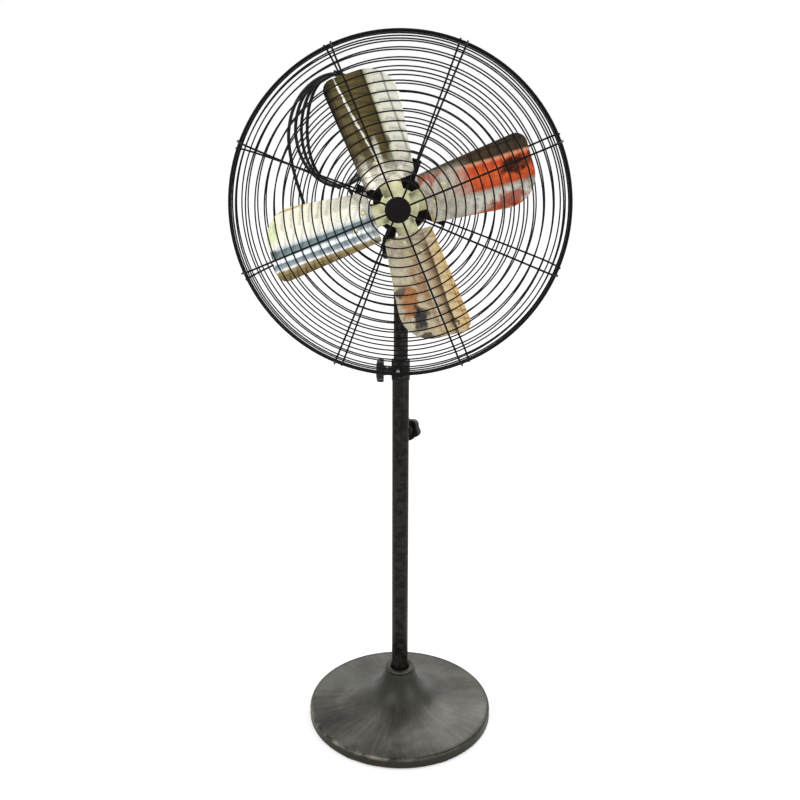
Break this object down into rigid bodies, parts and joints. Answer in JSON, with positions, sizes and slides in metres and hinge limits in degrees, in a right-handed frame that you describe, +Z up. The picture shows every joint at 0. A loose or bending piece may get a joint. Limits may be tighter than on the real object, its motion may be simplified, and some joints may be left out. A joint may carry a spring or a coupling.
{
  "type": "industrial pedestal fan",
  "caption": "Free-standing industrial fan with round cast base, telescoping pole, tilting motor head, wire cage, metal blades and a mains cord coiled on the rear guard.",
  "frame": {"origin": "on the floor under the pole's axis", "axes": "+Z up the pole; the fan blows towards -Y; +X is the fan's right hand side seen from the front"},
  "size_m": [0.688, 0.432, 1.564],
  "materials": {
    "base_paint": "dark gunmetal paint, scuffed",
    "pole_paint": "dark gunmetal paint, semi-gloss",
    "black_paint": "black powder coat, semi-gloss",
    "guard_wire": "black powder-coated steel wire",
    "motor_paint": "black hammered paint",
    "blade_aluminium": "polished",
    "spider_plating": "pale yellow zinc plating",
    "zinc_steel": "zinc plated",
    "ground_steel": "ground",
    "laminations": "stacked sheets",
    "copper": "enamelled winding wire",
    "knob_plastic": "moulded, fine texture",
    "black_plastic": "moulded",
    "white_plastic": "moulded",
    "nylon": "self-lubricating",
    "rubber": "matt",
    "cord_jacket": "smooth black jacket"
  },
  "bodies": {
    "stand": {"base_casting": "base_paint", "rubber_feet": "rubber", "foot_bolt": "zinc_steel", "pole_foot_nut": "zinc_steel", "pole_outer_tube": "pole_paint", "guide_bush": "nylon", "pole_sleeve": "black_paint", "height_lock_nut": "black_paint", "lower_lock_nut": "pole_paint"},
    "height_lock": {"height_lock_knob": "knob_plastic", "height_lock_stud": "zinc_steel"},
    "lower_lock": {"lower_lock_knob": "knob_plastic", "lower_lock_stud": "zinc_steel"},
    "inner_pole": {"pole_inner_tube": "pole_paint", "inner_tube_bush": "nylon", "pole_head_fitting": "black_paint"},
    "head": {"motor_bracket": "black_paint", "bracket_screws": "zinc_steel", "tilt_bolt": "zinc_steel", "motor_front_shell": "motor_paint", "motor_rear_shell": "motor_paint", "motor_tie_bolts": "zinc_steel", "stator_core": "laminations", "stator_windings": "copper", "motor_bearings": "ground_steel", "switch_box": "black_plastic", "switch_box_lid": "black_plastic", "speed_switch": "white_plastic", "run_capacitor": "white_plastic", "cord_gland": "black_plastic", "front_guard_rings": "guard_wire", "front_guard_rim": "guard_wire", "front_guard_spokes": "guard_wire", "front_guard_disc": "guard_wire", "rear_guard_rings": "guard_wire", "rear_guard_side_rings": "guard_wire", "rear_guard_rim": "guard_wire", "rear_guard_spokes": "guard_wire", "rear_guard_plate": "guard_wire", "guard_plate_screws": "zinc_steel", "guard_clip": "guard_wire", "guard_clip_screw": "zinc_steel", "cord_coil": "cord_jacket", "cord_lead": "cord_jacket", "cord_tail": "cord_jacket", "cord_plug": "cord_jacket", "cord_ties": "black_plastic"},
    "tilt_lock": {"tilt_lock_knob": "knob_plastic"},
    "speed": {"speed_knob": "knob_plastic", "switch_spindle": "zinc_steel"},
    "rotor": {"fan_shaft": "ground_steel", "rotor_core": "laminations", "blade_spider": "spider_plating", "hub_set_screw": "zinc_steel", "shaft_nut": "zinc_steel", "fan_blade_1": "blade_aluminium", "fan_blade_2": "blade_aluminium", "fan_blade_3": "blade_aluminium", "fan_blade_4": "blade_aluminium", "blade_rivets": "spider_plating"}
  },
  "joints": [
    {"name": "height_slide", "type": "slide", "parent": "stand", "child": "inner_pole", "axis": [0, 0, 1], "range_m": [-0.18, 0.16]},
    {"name": "height_lock_turn", "type": "hinge", "parent": "stand", "child": "height_lock", "pos_m": [-0.03, 0, 0.85], "axis": [-1, 0, 0], "range_deg": [0, 360]},
    {"name": "lower_lock_turn", "type": "hinge", "parent": "stand", "child": "lower_lock", "pos_m": [0.01408, 0.02649, 0.702], "axis": [0.4695, 0.8829, 0], "range_deg": [0, 360]},
    {"name": "head_tilt", "type": "hinge", "parent": "inner_pole", "child": "head", "pos_m": [0, 0, 1.128], "axis": [1, 0, 0], "range_deg": [-30, 8]},
    {"name": "tilt_lock_turn", "type": "hinge", "parent": "head", "child": "tilt_lock", "pos_m": [-0.03, 0, 1.128], "axis": [-1, 0, 0], "range_deg": [0, 360]},
    {"name": "speed_turn", "type": "hinge", "parent": "head", "child": "speed", "pos_m": [0, 0.13, 1.233], "axis": [0, 1, 0], "range_deg": [0, 135]},
    {"name": "rotor_spin", "type": "hinge", "parent": "head", "child": "rotor", "pos_m": [0, 0, 1.22], "axis": [0, 1, 0], "continuous": true}
  ]
}
